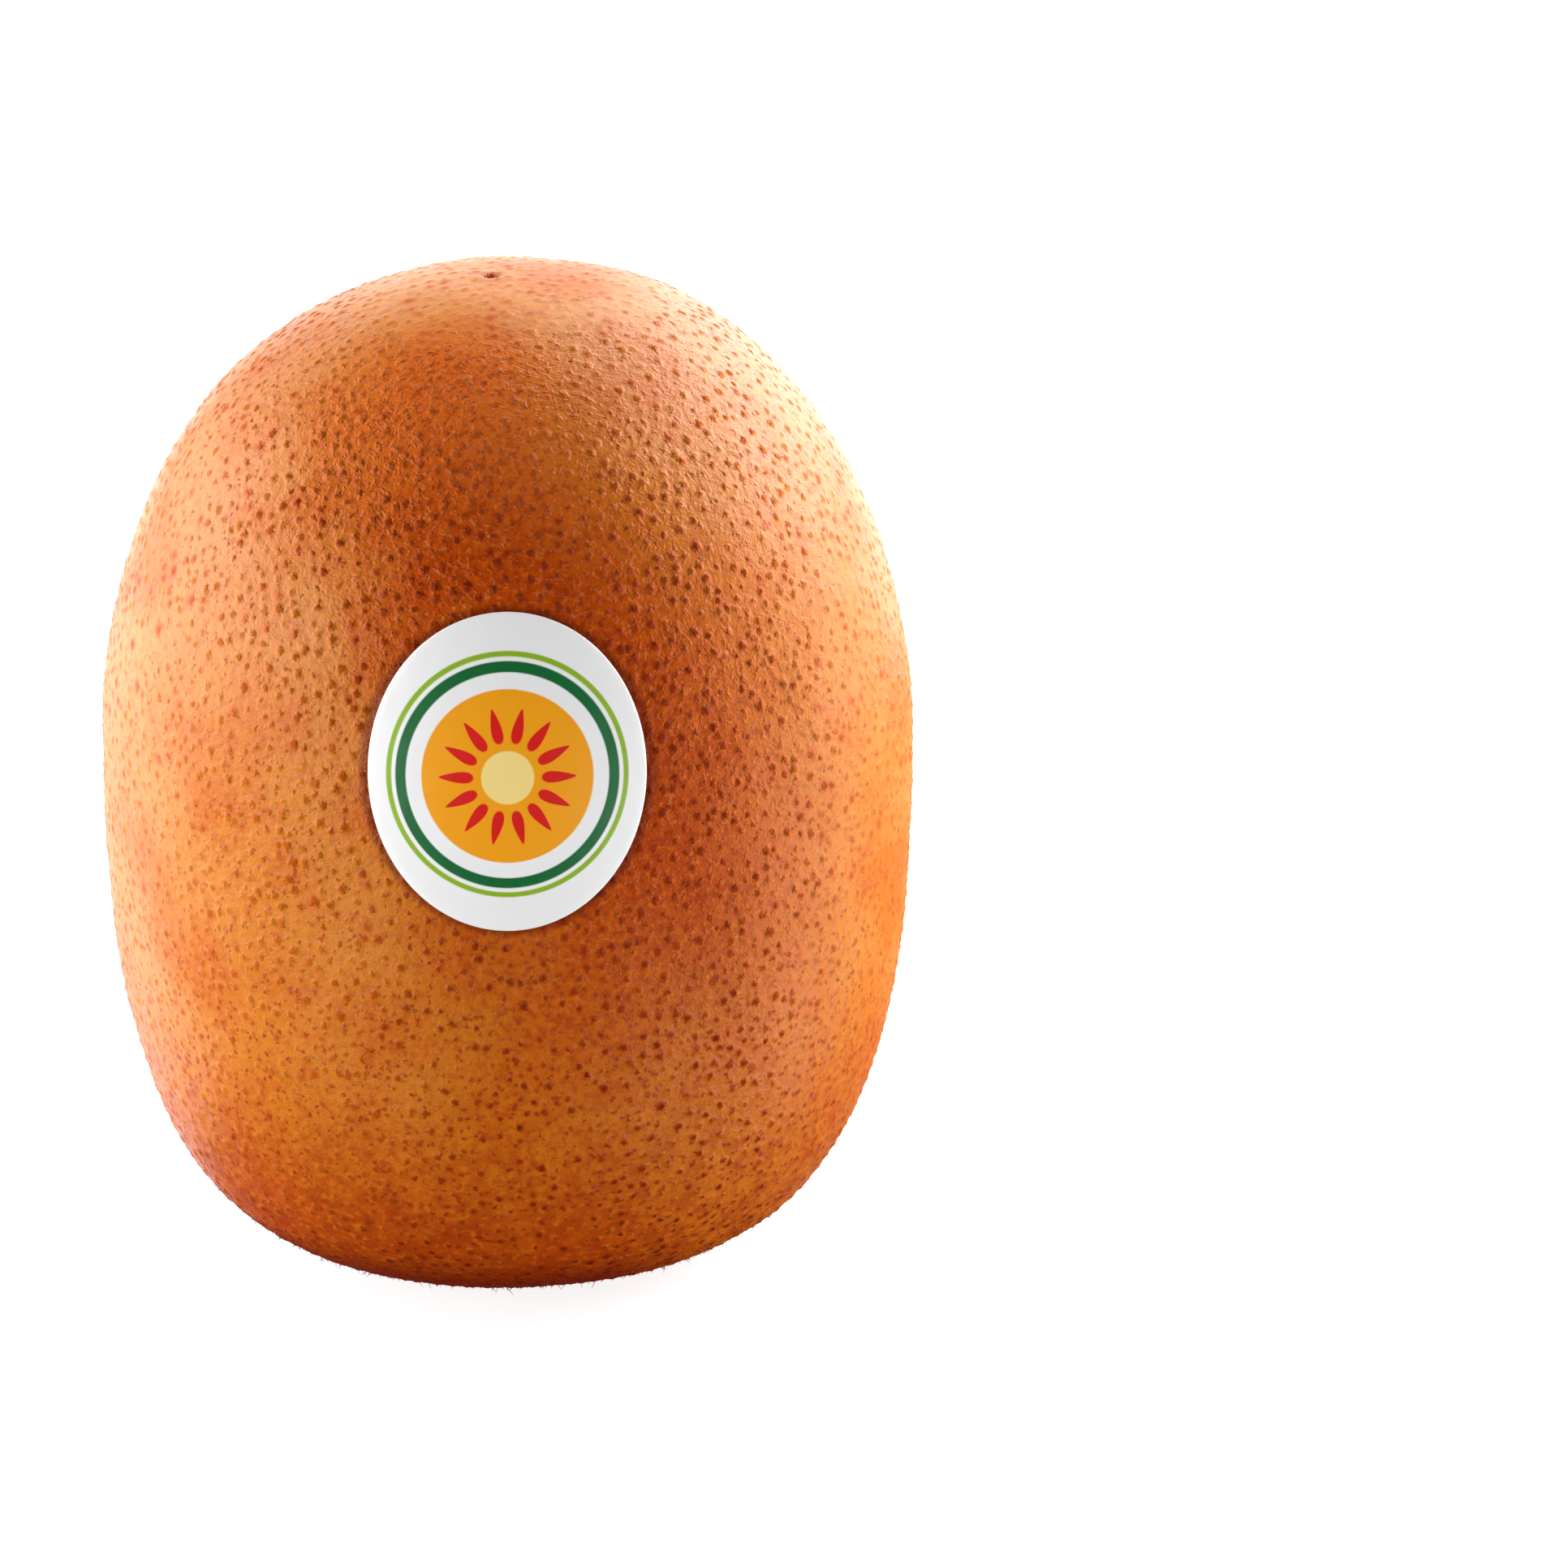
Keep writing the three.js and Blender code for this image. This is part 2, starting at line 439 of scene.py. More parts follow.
skinColours = {
    "golden": (0.59, 0.182, 0.014, 1),
    "paintedFlankSheen": (0.60, 0.212, 0.060, 1),
    "paintedSheen": (0.62, 0.245, 0.066, 1),
    "patch": (0.54, 0.118, 0.004, 1),
    "lowHalf": (0.52, 0.100, 0.003, 1),
    "cloud": (0.62, 0.190, 0.008, 1),
    "shadedRipe": (0.44, 0.047, 0.001, 1),
    "shadedRipeTop": (0.61, 0.116, 0.014, 1),
    "halo": (0.50, 0.060, 0.003, 1),
    "speck": (0.30, 0.036, 0.001, 1),
    "stipple": (0.46, 0.050, 0.002, 1),
    "grain": (0.28, 0.030, 0.001, 1),
    "paintedPebbleGlint": (0.60, 0.125, 0.004, 1),
    "paintedFootShade": (0.42, 0.046, 0.001, 1),
    "paintedFootShadeCloud": (0.24, 0.014, 0.001, 1),
    "lowPebble": (0.62, 0.160, 0.006, 1),
    "foot": (0.17, 0.009, 0.001, 1),
    "underside": (0.38, 0.080, 0.008, 1),
    "paintedCreaseGlint": (0.70, 0.19, 0.040, 1),
    "pitShade": (0.34, 0.060, 0.010, 1),
    "labelShadow": (0.16, 0.016, 0.001, 1),
    "cork": (0.24, 0.018, 0.001, 1),
    "darkCork": (0.17, 0.010, 0.001, 1),
    "sheenPaleCork": (0.48, 0.104, 0.008, 1),
    "footShadeCork": (0.13, 0.009, 0.001, 1),
}


def paintedLabelShadow(across, deep, height):
    # painted shadow of the label: 1 right beside the label's outline, and under it
    middle = (girthHeight + labelForm["rise"]) / millimetre
    up = (height - middle) / (labelForm["height"] / 2 / millimetre)
    aside = across / (labelForm["width"] / 2 / millimetre)
    return (aside * aside + up * up).fade(1.14, 1.02) * deep.fade(0.0, -10.0)


def skinFinish():
    # places and heights are in millimetres
    constants = {"Specular IOR Level": 0.18, "Sheen Weight": 0.04, "Sheen Roughness": 0.3}
    finish, shader, place = newFinish("speckled_skin", constants)
    centre = place.node("Attribute", {"attribute_name": "dotCentre"}, {}, 1)
    look = place.node("Attribute", {"attribute_name": "dotLook"}, {}, 1)
    radius, dark, red = (look.part(number) for number in range(3))
    across, deep, height = (place.part(number) for number in range(3))

    # each dot's outline is ragged
    ragged = place.grain(3.2, 2.0, output=1).vector("SUBTRACT", (0.5, 0.5, 0.5)).scaled(0.46)
    strayed = place.vector("ADD", ragged)
    away = strayed.vector("DISTANCE", centre, 1) / radius
    spot = away.fade(1.5, 0.2) * dark
    halo = away.fade(2.8, 0.9) * red.fade(0.55, 0.9)

    patches = place.grain(0.13, 3.0, 0.5)
    cloud = place.grain(0.55, 2.0, 0.6)
    pebbles = place.grain(1.8, 2.0, 0.55)
    fine = place.grain(6.0, 2.0, 0.6)
    specks = (strayed.cells(1.5) - height.fade(40.0, 10.0) * 0.09).fade(0.27, 0.08)
    creases = (place.grain(1.9, 1.0, 0.4) - 0.5).absolute().fade(0.12, 0.01)
    creases = creases * place.grain(2.3, 1.0).fade(0.48, 0.64)

    # the front has a redder band, a ripe tone darkened with painted shade, which leans to the right on
    # its way down
    turn = across.maths("ARCTAN2", across, 0 - deep)
    turn = turn - 0.18 + height.fade(46.0, 66.0) * 0.46 - height.fade(52.0, 26.0) * 0.14
    turn = (turn + (patches - 0.5) * 0.5).absolute()
    band = turn.fade(0.76, 0.10) * height.fade(9.0, 36.0) * height.fade(68.1, 65.0)
    flank = turn.fade(0.35, 1.0)
    rim = across.absolute().fade(15.0, 25.0)
    crown = height.fade(65.3, 67.2)
    # the painted shade at the foot is strongest in the middle of the front
    paintedFootShade = (1 - across.fade(5.0, 16.0) * 0.8) * 0.8

    # paler cream at the left and right edges and on the crown: painted sheen and highlight
    paintedSheen = (rim * 0.35 + across.fade(-16.0, -25.0) * 0.3).highest(crown * 0.75)
    base = place.colour(skinColours["golden"]).layered(skinColours, [
        # paler, bluer upper flanks: painted sheen
        ("paintedFlankSheen", height.fade(40.0, 56.0) * flank),
        ("paintedSheen", paintedSheen),
        ("patch", patches.fade(0.42, 0.66) * 0.7),
        ("lowHalf", height.fade(24.0, 12.0) * 0.55),
        ("cloud", cloud.fade(0.52, 0.75) * 0.5),
    ])
    # the band's colour: a redder ripe tone with painted shade, paler towards the crown
    shadedRipe = place.colour(skinColours["shadedRipe"])
    shadedRipe = shadedRipe.blend(skinColours["shadedRipeTop"], height.fade(53.0, 64.0))
    speckShare = 0.6 - crown * 0.4 + height.fade(40.0, 10.0) * 0.3
    stipple = strayed.cells(2.2).fade(0.34, 0.12) * height.fade(58.0, 64.0) * (1 - crown)
    fineShare = band * 0.2 + height.fade(34.0, 8.0) * 0.4 + 0.15
    fromFlower = place.vector("DISTANCE", tuple(flowerCentre / millimetre), 1)
    base = base.blend(shadedRipe, band * 0.95).layered(skinColours, [
        ("halo", halo * cloud.fade(0.60, 0.4) * 0.6),
        ("speck", specks * speckShare),
        ("stipple", stipple * 0.6),
        # darker in the pebbles' hollows: painted shade
        ("grain", pebbles.fade(0.50, 0.34) * (band * 0.35 + 0.25)),
        # paler pebble tops in the band: painted glints
        ("paintedPebbleGlint", pebbles.fade(0.54, 0.70) * band * 0.6),
        ("grain", fine.fade(0.48, 0.7) * fineShare),
        # darker towards the foot, most at the front: painted shade
        ("paintedFootShade", height.fade(16.0, 5.0) * paintedFootShade),
        # darker clouds near the foot: painted shade
        ("paintedFootShadeCloud", cloud.fade(0.62, 0.38) * height.fade(22.0, 4.0) * 0.4),
        ("lowPebble", pebbles.fade(0.52, 0.70) * height.fade(40.0, 8.0) * 0.55),
        # darkest at the very foot, most at the front: painted shade
        ("foot", height.fade(6.0, 1.8) * paintedFootShade * 1.15),
        ("underside", height.fade(0.8, 0.2) * 0.7),
        # pale strokes along the creases in the band: painted glints
        ("paintedCreaseGlint", creases * band * 0.4),
        # darker red round the flower end's pit: painted shade
        ("pitShade", fromFlower.fade(1.0, 0.3) * 0.8),
        # painted shadow of the label's edge on the skin
        ("labelShadow", paintedLabelShadow(across, deep, height) * 0.7),
    ])

    # smoother towards the foot, on the crown and at the outer edges
    relief = spot * 0.9 + pebbles * 0.85 + fine * 0.22 + specks * 0.3
    relief = relief + creases * (band * 0.35 + 0.1)
    relief = relief * (height.fade(12.0, 44.0) * 0.6 + 0.4)
    relief = relief * (1 - crown * 0.85) * (1 - rim * 0.6) * (1 - flank * 0.25)
    bumps = bumped(relief, 0.00016)
    plug(shader, {"Base Color": base, "Roughness": fine * 0.14 + 0.29 + flank * 0.04, "Normal": bumps})

    # the dots are of matt cork, and the redder band and the foot are matt too
    cork = place.colour(skinColours["cork"]).layered(skinColours, [
        ("darkCork", red.fade(0.2, 0.8)),
        # paler dots on the flanks and high up: painted sheen over them
        ("sheenPaleCork", flank.highest(height.fade(55.0, 64.0)) * 0.95),
        # darker dots towards the foot: painted shade
        ("footShadeCork", height.fade(14.0, 4.0) * 0.9),
    ])
    matt = place.node("BsdfPrincipled", {}, {
        "Base Color": base.blend(cork, spot.fade(0.0, 0.6)),
        "Roughness": 0.8,
        "Specular IOR Level": 0.0,
        "Normal": bumps,
    })
    skin = Wire(place.tree, shader.outputs["BSDF"])
    share = spot * (0.97 - crown * 0.6 - rim * 0.4 - band * 0.15)
    share = share.highest(band * 0.7).highest(height.fade(9.0, 3.0) * 0.85)
    both = place.node("MixShader", {}, {0: share, 1: skin, 2: matt})
    place.tree.links.new(both.socket, place.tree.nodes["Material Output"].inputs["Surface"])
    return finish


skinMesh = makeSkinBall()
skinStart = shapeSkin(skinMesh)
dots, dotRadius, dotSize = raiseSkin(skinMesh, skinStart)
skinEnd = readPoints(skinMesh)
noteDots(skinMesh, skinEnd, dots, dotRadius, dotSize)
addPiece(skinMesh, skinFinish(), "fruit")
print("skin made,", len(dots), "dots")


# Flower end: dried styles and a few scales in the small pit on the crown

flowerSettings = {
    "depth": 1.6,  # the sprigs start this far below the crown, in depths of the pit
    "links": 5,
    "taper": 0.86,  # from link to link
    "tipTaper": 0.45,
    "styles": 9,
    "styleSides": 6,
    "styleLength": 0.00050,
    "styleRadius": 0.00008,
    "styleLean": 0.75,
    "styleRing": 0.00007,
    "scales": 6,
    "scaleSides": 5,
    "scaleLength": 0.00032,
    "scaleRadius": 0.00010,
    "scaleRise": 0.42,
    "scaleRing": 0.00018,
}


def growSprig(shape, foot, heading, length, radius, curl, sides):
    # a tapering twig that bends as it is drawn out of a small ring
    ring = bmesh.ops.create_circle(shape, cap_ends=True, segments=sides, radius=radius)["verts"]
    turn = heading.to_track_quat("Z", "Y").to_matrix()
    bmesh.ops.transform(shape, matrix=Matrix.Translation(foot) @ turn.to_4x4(), verts=ring)
    face = bmesh.ops.extrude_discrete_faces(shape, faces=[ring[0].link_faces[0]])["faces"][0]
    sideways = heading.cross(Vector((0, 0, 1))).normalized()
    links = flowerSettings["links"]
    for link in range(links):
        grown = bmesh.ops.extrude_face_region(shape, geom=[face])["geom"]
        corners = [item for item in grown if isinstance(item, bmesh.types.BMVert)]
        bmesh.ops.delete(shape, geom=[face], context="FACES_ONLY")
        face = next(item for item in grown if isinstance(item, bmesh.types.BMFace))
        heading = (Matrix.Rotation(curl / links, 3, sideways) @ heading).normalized()
        bmesh.ops.translate(shape, vec=heading * length / links, verts=corners)
        middle = sum((corner.co for corner in corners), Vector()) / len(corners)
        taper = flowerSettings["taper"] if link < links - 1 else flowerSettings["tipTaper"]
        bmesh.ops.scale(shape, vec=(taper,) * 3, space=Matrix.Translation(-middle), verts=corners)


def makeFlowerEnd():
    shape = bmesh.new()
    depth = skinSettings["pitDepth"] * flowerSettings["depth"]
    foot = Vector(flowerCentre) - Vector((0, 0, depth))
    styles, scales = flowerSettings["styles"], flowerSettings["scales"]
    for number in range(styles):
        around = 2 * math.pi * (number + draws.uniform(-0.3, 0.3)) / styles
        outwards = Vector((math.cos(around), math.sin(around), 0))
        lean = flowerSettings["styleLean"] * (0.25 if number % 3 == 0 else draws.uniform(0.7, 1.2))
        heading = outwards * math.sin(lean) + Vector((0, 0, math.cos(lean)))
        start = foot + outwards * flowerSettings["styleRing"]
        length = flowerSettings["styleLength"] * draws.uniform(0.55, 0.9)
        radius = flowerSettings["styleRadius"] * draws.uniform(0.7, 1.1)
        curl = draws.uniform(-0.2, 0.9)
        growSprig(shape, start, heading, length, radius, curl, flowerSettings["styleSides"])
    for number in range(scales):
        around = 2 * math.pi * (number + draws.uniform(-0.25, 0.25)) / scales
        outwards = Vector((math.cos(around), math.sin(around), 0))
        heading = (outwards + Vector((0, 0, flowerSettings["scaleRise"]))).normalized()
        start = foot + outwards * flowerSettings["scaleRing"]
        length, radius = flowerSettings["scaleLength"], flowerSettings["scaleRadius"]
        curl = draws.uniform(0.1, 0.5)
        growSprig(shape, start, heading, length, radius, curl, flowerSettings["scaleSides"])
    bmesh.ops.recalc_face_normals(shape, faces=shape.faces[:])
    return meshFrom(shape, "flower_end")


# Stem end: the woody scar where the stalk broke off, in its shallow hollow underneath

scarSettings = {
    "radius": 0.0028,
    "low": 0.00050,  # the scar stays this far above the surface that the fruit stands on
    "thick": 0.00120,
    "rings": 22,
    "sides": 96,
    "flare": 1.06,  # radius just behind the face, as a share of the face's
    "back": 0.9,
    "dish": 0.35,  # this and the next three in millimetres
    "rimRise": 0.2,
    "roughness": 0.12,
    "bundleRise": 0.22,
    "bundles": 26,
    "roughScale": 1800,
}


def makeScar():
    rings, radius, thick = scarSettings["rings"], scarSettings["radius"], scarSettings["thick"]
    outline = [(radius * ring / rings, 0) for ring in range(rings + 1)]
    outline.append((radius * scarSettings["flare"], thick * 0.5))
    outline.append((radius * scarSettings["back"], thick))
    outline.append((0, thick))
    mesh = turnedMesh(outline, scarSettings["sides"], "stem_scar")
    points = readPoints(mesh)
    away = np.hypot(points[:, 0], points[:, 1]) / radius
    turn = np.arctan2(points[:, 1], points[:, 0])
    scale = scarSettings["roughScale"]
    rough = np.array([noise.fractal(Vector(point) * scale, 1.0, 2.0, 4) for point in points])
    # a dished face, a raised ragged rim and a ring of small broken bundles
    dish = smoothStep(0.85, 0.2, away) * scarSettings["dish"]
    rim = np.exp(-(((away - 0.9) / 0.1) ** 2)) * scarSettings["rimRise"]
    bundles = np.maximum(0, np.cos(turn * scarSettings["bundles"])) * scarSettings["bundleRise"]
    bundles = bundles * np.exp(-(((away - 0.55) / 0.09) ** 2))
    face = points[:, 2] < thick * 0.3
    lift = (dish - rim - bundles + scarSettings["roughness"] * rough) * millimetre
    points[:, 2] += scarSettings["low"] + np.where(face, lift, 0)
    points[:, :2] *= (1 + 0.05 * rough * smoothStep(0.7, 1, away))[:, None]
    writePoints(mesh, points)
    return mesh


woodyColours = {
    "brown": (0.15, 0.062, 0.025, 1),
    "fibre": (0.30, 0.160, 0.075, 1),
    "patch": (0.05, 0.020, 0.010, 1),
    "flower": (0.46, 0.055, 0.025, 1),
}


def woodyFinish():
    finish, shader, place = newFinish("dry_woody_stub", {"Specular IOR Level": 0.2})
    fibres = place.grain(4.5, 4.0, 0.7)
    patches = place.grain(1.2, 2.0)
    height = place.part(2)
    base = place.colour(woodyColours["brown"]).layered(woodyColours, [
        ("fibre", fibres.fade(0.4, 0.75)),
        ("patch", patches.fade(0.5, 0.8) * 0.7),
        ("flower", height.fade(20.0, 60.0) * 0.85),
    ])
    plug(shader, {
        "Base Color": base,
        "Roughness": fibres * 0.2 + 0.68,
        "Normal": bumped(fibres, 0.00004),
    })
    return finish


woody = woodyFinish()
addPiece(makeFlowerEnd(), woody, None)
addPiece(makeScar(), woody, None)
print("flower end and stem scar made")


# Fuzz: short fine hairs that lie close to the skin, longer and darker towards the stem end

fuzzSettings = {
    "doublings": 12,  # two to this power hairs
    "length": (0.00022, 0.00050),
    "stemLength": (0.00018, 0.00080),
    "stemFrom": 0.010,  # the stem end's longer and thicker hairs set in below this height
    "stemFull": 0.001,
    "stemPower": 7,  # the larger, the fewer of them are long
    "stemThickness": 3.6,
    "crowding": 7,  # more hairs at the foot for each one higher up
    "crowdFrom": 0.008,
    "radius": 0.000014,
    "tip": 0.25,  # radius at the tip, as a share of the foot's
    "lean": (0.9, 1.35),
    "sink": 0.00002,  # how deep they start in the skin
    "clearOfGround": 0.0001,
    "lowest": 0.00003,
    "bareFoot": 0.0004,  # no hairs this low
    "barePit": 0.001,  # nor this near to the flower end
    "bareLabel": 0.0004,  # nor this near to the label
}


def makeFuzz(points, normals):
    # one hair, doubled again and again in a row, and then each laid at its place
    row = bmesh.new()
    tip = fuzzSettings["tip"]
    bmesh.ops.create_cone(row, cap_ends=True, segments=3, radius1=1, radius2=tip, depth=1)
    bmesh.ops.translate(row, vec=(0, 0, 0.5), verts=row.verts[:])
    spacing = 10  # between the hairs of the row, in radii
    for doubling in range(fuzzSettings["doublings"]):
        geometry = row.verts[:] + row.edges[:] + row.faces[:]
        copied = bmesh.ops.duplicate(row, geom=geometry)["geom"]
        corners = [item for item in copied if isinstance(item, bmesh.types.BMVert)]
        bmesh.ops.translate(row, vec=(spacing * 2**doubling, 0, 0), verts=corners)
    mesh = meshFrom(row, "skin_fuzz")
    plan = readPoints(mesh)
    hair = np.round(plan[:, 0] / spacing).astype(int)
    plan[:, 0] -= hair * spacing
    count = 2 ** fuzzSettings["doublings"]

    full = fuzzSettings["stemFull"]
    crowded = smoothStep(fuzzSettings["crowdFrom"], full, points[:, 2])
    wanted = 1 + fuzzSettings["crowding"] * crowded
    wanted *= points[:, 2] > fuzzSettings["bareFoot"]
    wanted *= shareOfLabel(points, fuzzSettings["bareLabel"]) > 1
    wanted *= np.linalg.norm(points - flowerCentre, axis=1) > fuzzSettings["barePit"]
    seats = draws.choice(len(points), count, replace=False, p=wanted / wanted.sum())
    foot, outwards = points[seats], normals[seats]
    stemward = smoothStep(fuzzSettings["stemFrom"], full, foot[:, 2])
    length = mixed(*fuzzSettings["length"], draws.random(count))
    stemLength = mixed(*fuzzSettings["stemLength"], draws.random(count) ** fuzzSettings["stemPower"])
    length = mixed(length, stemLength, stemward)
    lean = mixed(*fuzzSettings["lean"], draws.random(count)) * mixed(1, 0.7, stemward)
    sideways = np.cross(outwards, draws.normal(size=(count, 3)))
    sideways /= np.linalg.norm(sideways, axis=1, keepdims=True)
    heading = outwards * np.cos(lean)[:, None] + sideways * np.sin(lean)[:, None]
    # round the foot they end clear of the ground
    clear = fuzzSettings["clearOfGround"]
    room = (foot[:, 2] - clear) / np.maximum(-heading[:, 2], 0.01)
    length = np.minimum(length, np.maximum(room, clear))
    third = np.cross(heading, sideways)
    second = np.cross(third, heading)
    radius = fuzzSettings["radius"] * mixed(1, fuzzSettings["stemThickness"], stemward)
    local = plan[:, 0:1] * second[hair] + plan[:, 1:2] * third[hair]
    place = foot[hair] - outwards[hair] * fuzzSettings["sink"] + local * radius[hair][:, None]
    place = place + heading[hair] * (plan[:, 2] * length[hair])[:, None]
    place[:, 2] = np.maximum(place[:, 2], fuzzSettings["lowest"])
    writePoints(mesh, np.clip(place, *boxCorners))
    bent = bmesh.new()
    bent.from_mesh(mesh)
    bmesh.ops.recalc_face_normals(bent, faces=bent.faces[:])
    bent.to_mesh(mesh)
    bent.free()
    return mesh


fuzzColours = {
    "pale": (0.62, 0.22, 0.04, 1),
    "brown": (0.52, 0.13, 0.015, 1),
    "foot": (0.24, 0.026, 0.006, 1),
}


def fuzzFinish():
    finish, shader, place = newFinish("fine_fuzz", {"Roughness": 0.5, "Specular IOR Level": 0.15})
    base = place.colour(fuzzColours["pale"]).layered(fuzzColours, [
        ("brown", place.grain(2.0).fade(0.4, 0.6)),
        ("foot", place.part(2).fade(10.0, 4.0)),
    ])
    plug(shader, {"Base Color": base})
    return finish


addPiece(makeFuzz(skinEnd, vertexNormals(skinMesh)), fuzzFinish(), None)
print("fuzz made")


# Label

def makeLabel():
    # a thin disc with a rounded edge, turned round its middle and laid on the skin
    rings, flat = labelForm["rings"], labelForm["flat"]
    top = [(ring / rings * flat, 1.0) for ring in range(rings + 1)]
    bend = labelForm["bend"]
    edge = [(flat + (1 - flat) * math.sin(turn), 0.5 + 0.5 * math.cos(turn)) for turn in bend]
    bottom = [(radius, 0.0) for radius, _ in reversed(top)]
    mesh = turnedMesh(top + edge + bottom, labelForm["sides"], "printed_label")
    plan = readPoints(mesh)
    rise = labelForm["rise"] + plan[:, 1] * labelForm["height"] / 2
    azimuth = labelForm["azimuth"] + plan[:, 0] * labelForm["width"] / 2 / halfWidth(rise)
    height = labelForm["gap"] + labelForm["thickness"] * plan[:, 2]
    points = skinPoints(azimuth, rise) + skinNormals(azimuth, rise) * height[:, None]
    layer = mesh.uv_layers.new(name="labelPlan")
    corners = np.empty(len(mesh.loops), np.int32)
    mesh.loops.foreach_get("vertex_index", corners)
    layer.data.foreach_set("uv", (plan[corners, :2] / 2 + 0.5).astype(np.float32).ravel())
    writePoints(mesh, points)
    return mesh


printForm = {
    # millimetres
    "flesh": 5.7,
    "core": 1.75,
    "seeds": 14,
    "seedMiddle": 3.4,
    "seedReach": 1.15,
    "seedWidth": 0.34,
    "seedTaper": 0.16,  # narrower by this for each millimetre outwards
    "seedLeast": 0.05,
    "darkRing": (7.1, 0.7),  # radius and width
    "brightRing": (7.9, 0.35),
    "soft": 0.06,
}
printColours = {
    "white": (0.90, 0.90, 0.90, 1),
    "flesh": (0.92, 0.36, 0.004, 1),
    "core": (0.95, 0.72, 0.25, 1),
    "seed": (0.70, 0.008, 0.006, 1),
    "darkRing": (0.002, 0.13, 0.028, 1),
    "brightRing": (0.27, 0.46, 0.012, 1),
}


def labelFinish():
    # a round slice of fruit: gold flesh, a pale core and a ring of red seeds, inside two green rings
    constants = {"Roughness": 0.38, "Specular IOR Level": 0.5}
    finish, shader, place = newFinish("printed_film", constants)
    size = (labelForm["width"] / millimetre, labelForm["height"] / millimetre, 0)
    plan = place.node("UVMap", {"uv_map": "labelPlan"}, {})
    plan = plan.vector("SUBTRACT", (0.5, 0.5, 0.0)).vector("MULTIPLY", size)
    away = plan.vector("LENGTH", (0, 0, 0), 1)
    soft = printForm["soft"]

    def disc(radius):
        return away.fade(radius + soft, radius - soft)

    def ring(radius, width):
        return (away - radius).absolute().fade(width / 2 + soft, width / 2 - soft)

    # each seed is a pointed drop, the same in every sector
    turn = away.maths("ARCTAN2", plan.part(1), plan.part(0)) + math.pi
    near = turn.maths("PINGPONG", turn, math.pi / printForm["seeds"])
    along = away - printForm["seedMiddle"]
    width = (along * -printForm["seedTaper"] + printForm["seedWidth"]).highest(printForm["seedLeast"])
    side = away * near.node("Math", {"operation": "SINE"}, {0: near}) / width
    end = (along / printForm["seedReach"]).absolute()
    seed = side.maths("POWER", side, 2.0) + end.maths("POWER", end, 2.0)

    ink = place.colour(printColours["white"]).layered(printColours, [
        ("flesh", disc(printForm["flesh"])),
        ("core", disc(printForm["core"])),
        ("seed", seed.fade(1.12, 0.88)),
        ("darkRing", ring(*printForm["darkRing"])),
        ("brightRing", ring(*printForm["brightRing"])),
    ])
    plug(shader, {"Base Color": ink, "Normal": bumped(place.grain(0.5, 2.0), 0.00006)})
    return finish


addPiece(makeLabel(), labelFinish(), "fruit_label")
print("label made")


# Room, lights and camera

roomSettings = {
    "floorSize": 12.0,
    "floorColour": (0.4, 0.4, 0.4, 1),
    "floorGlow": 0.86,
    "worldLight": 0.03,
    "lightDistance": 0.5,
    "lightSize": 0.30,
}
lightRings = {
    # softboxes by elevation and azimuth in degrees, with their watts: azimuth 0 is where the camera
    # stands and 90 is on the fruit's right
    -20: {-150: 0.5, -120: 0.6, -45: 0.48, 45: 0.84, 85: 1.35, 180: 0.12},
    5: {
        -150: 0.35, -120: 0.65, -100: 1.25, -80: 0.8, -55: 1.62,
        55: 0.44, 100: 0.9, 120: 0.4, 150: 1.0, 180: 0.6,
    },
    30: {-120: 0.55, -100: 0.65, 100: 0.75, 120: 2.7, 150: 1.2, 180: 0.18},
    55: {120: 0.25, 150: 0.75},
}
photoView = {
    "side": 1932,  # pixels of the photograph
    "girthX": 625.5,  # where the middle of the girth shows in it
    "girthY": 894.5,
    "elevation": math.radians(18),
    "distance": 0.70,
    "lens": 237.0,
    "sensor": 36.0,
}


def addFloor():
    sheet = bmesh.new()
    bmesh.ops.create_grid(sheet, x_segments=1, y_segments=1, size=roomSettings["floorSize"] / 2)
    mesh = meshFrom(sheet, "floor", False)
    floor = bpy.data.objects.new("floor", mesh)
    bpy.context.scene.collection.objects.link(floor)
    finish = bpy.data.materials.new("floor")
    finish.use_nodes = True
    shader = finish.node_tree.nodes["Principled BSDF"]
    shader.inputs["Base Color"].default_value = roomSettings["floorColour"]
    shader.inputs["Roughness"].default_value = 0.8
    shader.inputs["Emission Color"].default_value = (1, 1, 1, 1)
    shader.inputs["Emission Strength"].default_value = roomSettings["floorGlow"]
    mesh.materials.append(finish)
    # the floor only shows as a white ground: it neither lights the fruit nor stands in its light
    floor.visible_diffuse = floor.visible_glossy = floor.visible_shadow = False


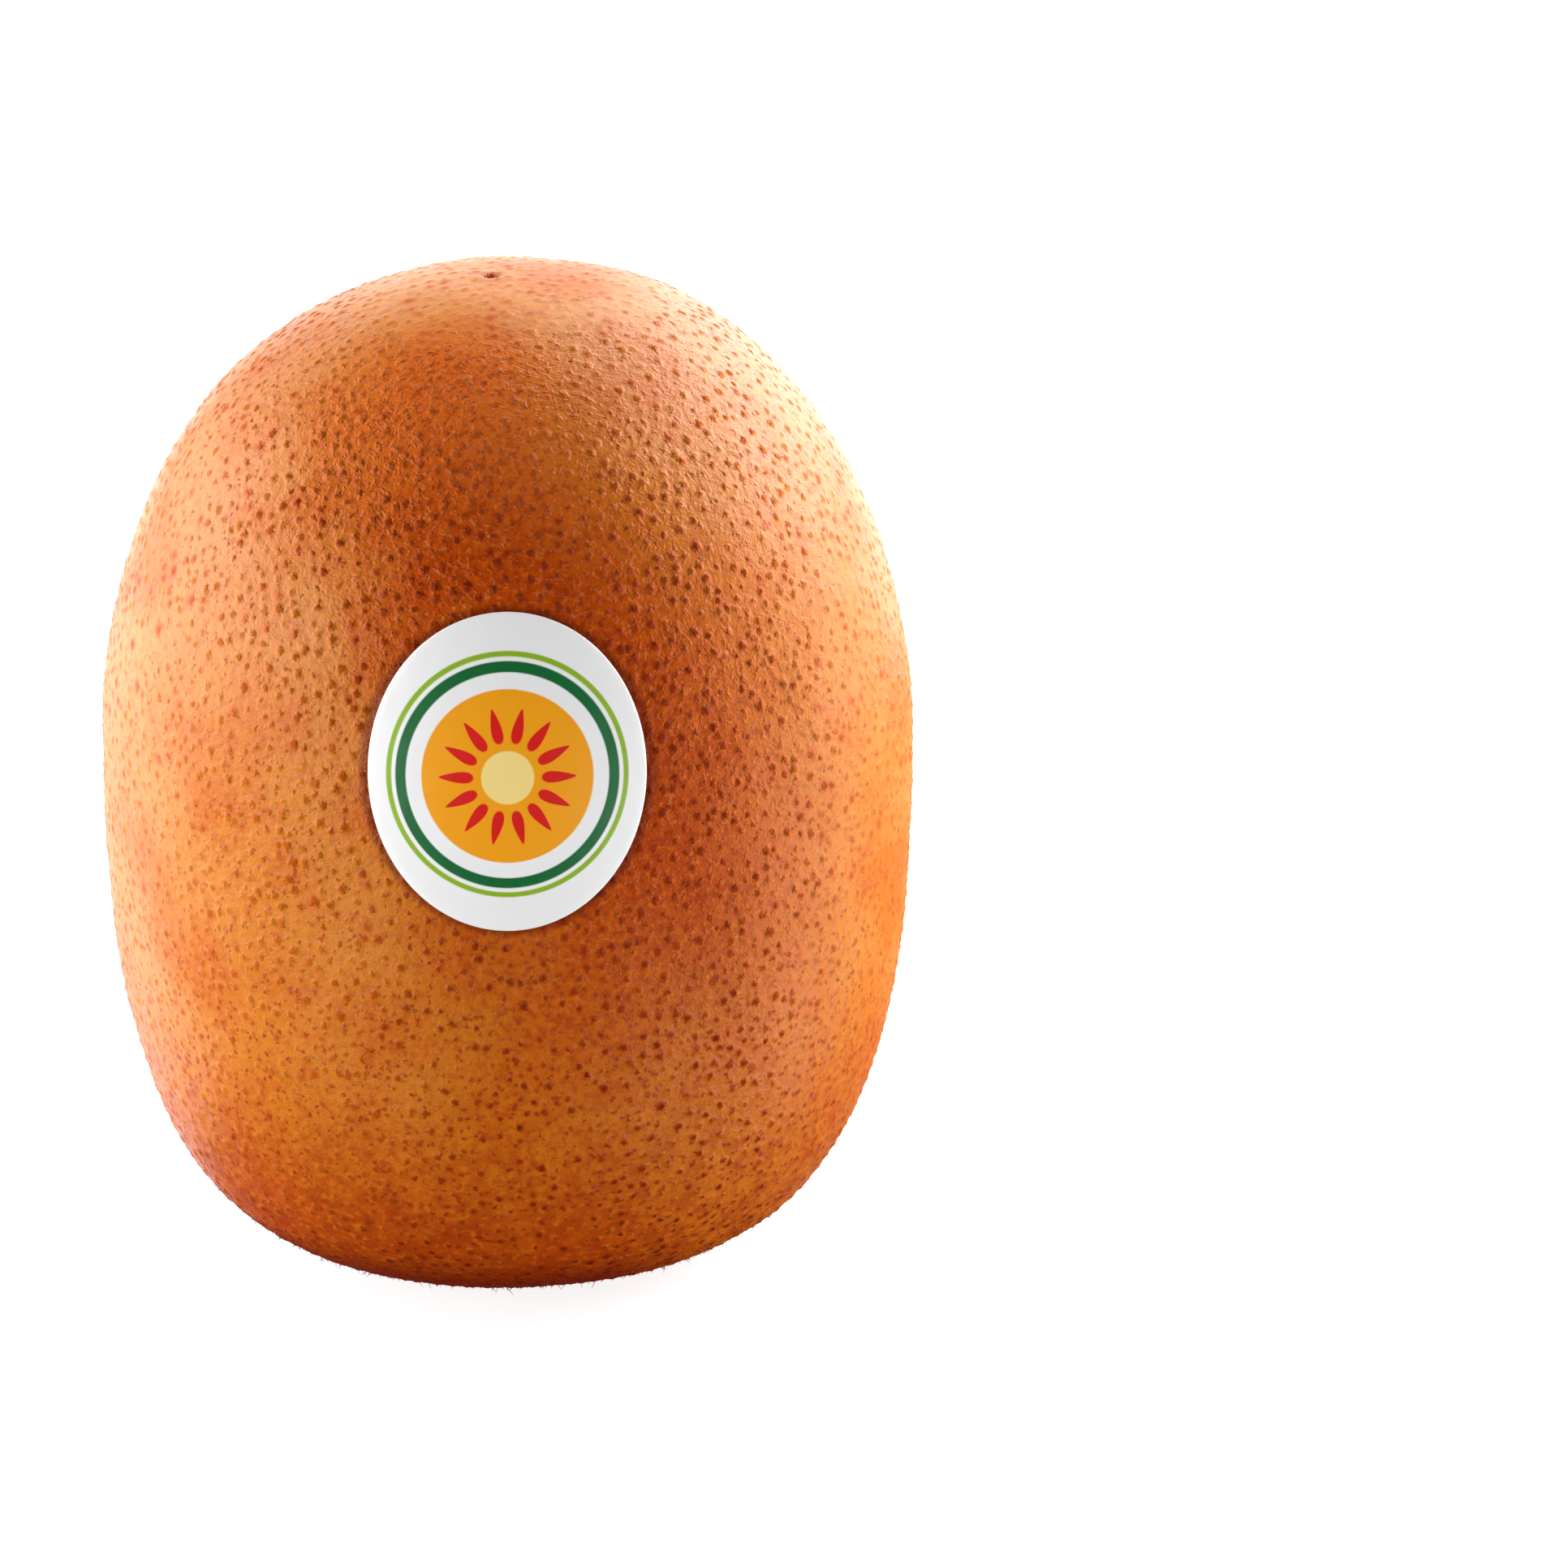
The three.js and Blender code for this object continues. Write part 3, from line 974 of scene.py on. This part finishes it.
def addLights():
    aim = Vector((0, 0, girthHeight))
    for elevation, ring in lightRings.items():
        for azimuth, power in ring.items():
            name = f"softbox_{elevation}_{azimuth}"
            lamp = bpy.data.lights.new(name, "AREA")
            lamp.shape = "RECTANGLE"
            lamp.size = lamp.size_y = roomSettings["lightSize"]
            lamp.energy = power
            holder = bpy.data.objects.new(name, lamp)
            bpy.context.scene.collection.objects.link(holder)
            holder.visible_camera = False
            turn, tilt = math.radians(azimuth), math.radians(elevation)
            side, ahead = math.sin(turn) * math.cos(tilt), -math.cos(turn) * math.cos(tilt)
            towards = Vector((side, ahead, math.sin(tilt)))
            holder.location = aim + towards * roomSettings["lightDistance"]
            holder.rotation_euler = (aim - holder.location).to_track_quat("-Z", "Y").to_euler()


def addWorld():
    world = bpy.data.worlds.new("studio")
    world.use_nodes = True
    background = world.node_tree.nodes["Background"]
    background.inputs["Color"].default_value = (1, 1, 1, 1)
    background.inputs["Strength"].default_value = roomSettings["worldLight"]
    bpy.context.scene.world = world


def addCamera():
    girth = Vector((0, 0, girthHeight))
    tilt = photoView["elevation"]
    back = Vector((0, -math.cos(tilt), math.sin(tilt)))
    upwards = Vector((0, math.sin(tilt), math.cos(tilt)))
    # how far the frame's middle lies from the girth's, in the plane through the girth
    pixel = photoView["distance"] * photoView["sensor"] / photoView["lens"] / photoView["side"]
    right = (photoView["side"] / 2 - photoView["girthX"]) * pixel
    down = (photoView["side"] / 2 - photoView["girthY"]) * pixel
    aim = girth + Vector((right, 0, 0)) - upwards * down
    lens = bpy.data.cameras.new("camera")
    lens.lens = photoView["lens"]
    lens.sensor_width = photoView["sensor"]
    camera = bpy.data.objects.new("camera", lens)
    bpy.context.scene.collection.objects.link(camera)
    camera.location = girth + back * photoView["distance"]
    camera.rotation_euler = (aim - camera.location).to_track_quat("-Z", "Y").to_euler()
    bpy.context.scene.camera = camera


addFloor()
addLights()
addWorld()
addCamera()
bpy.context.scene.view_settings.view_transform = "Standard"
print("room made")
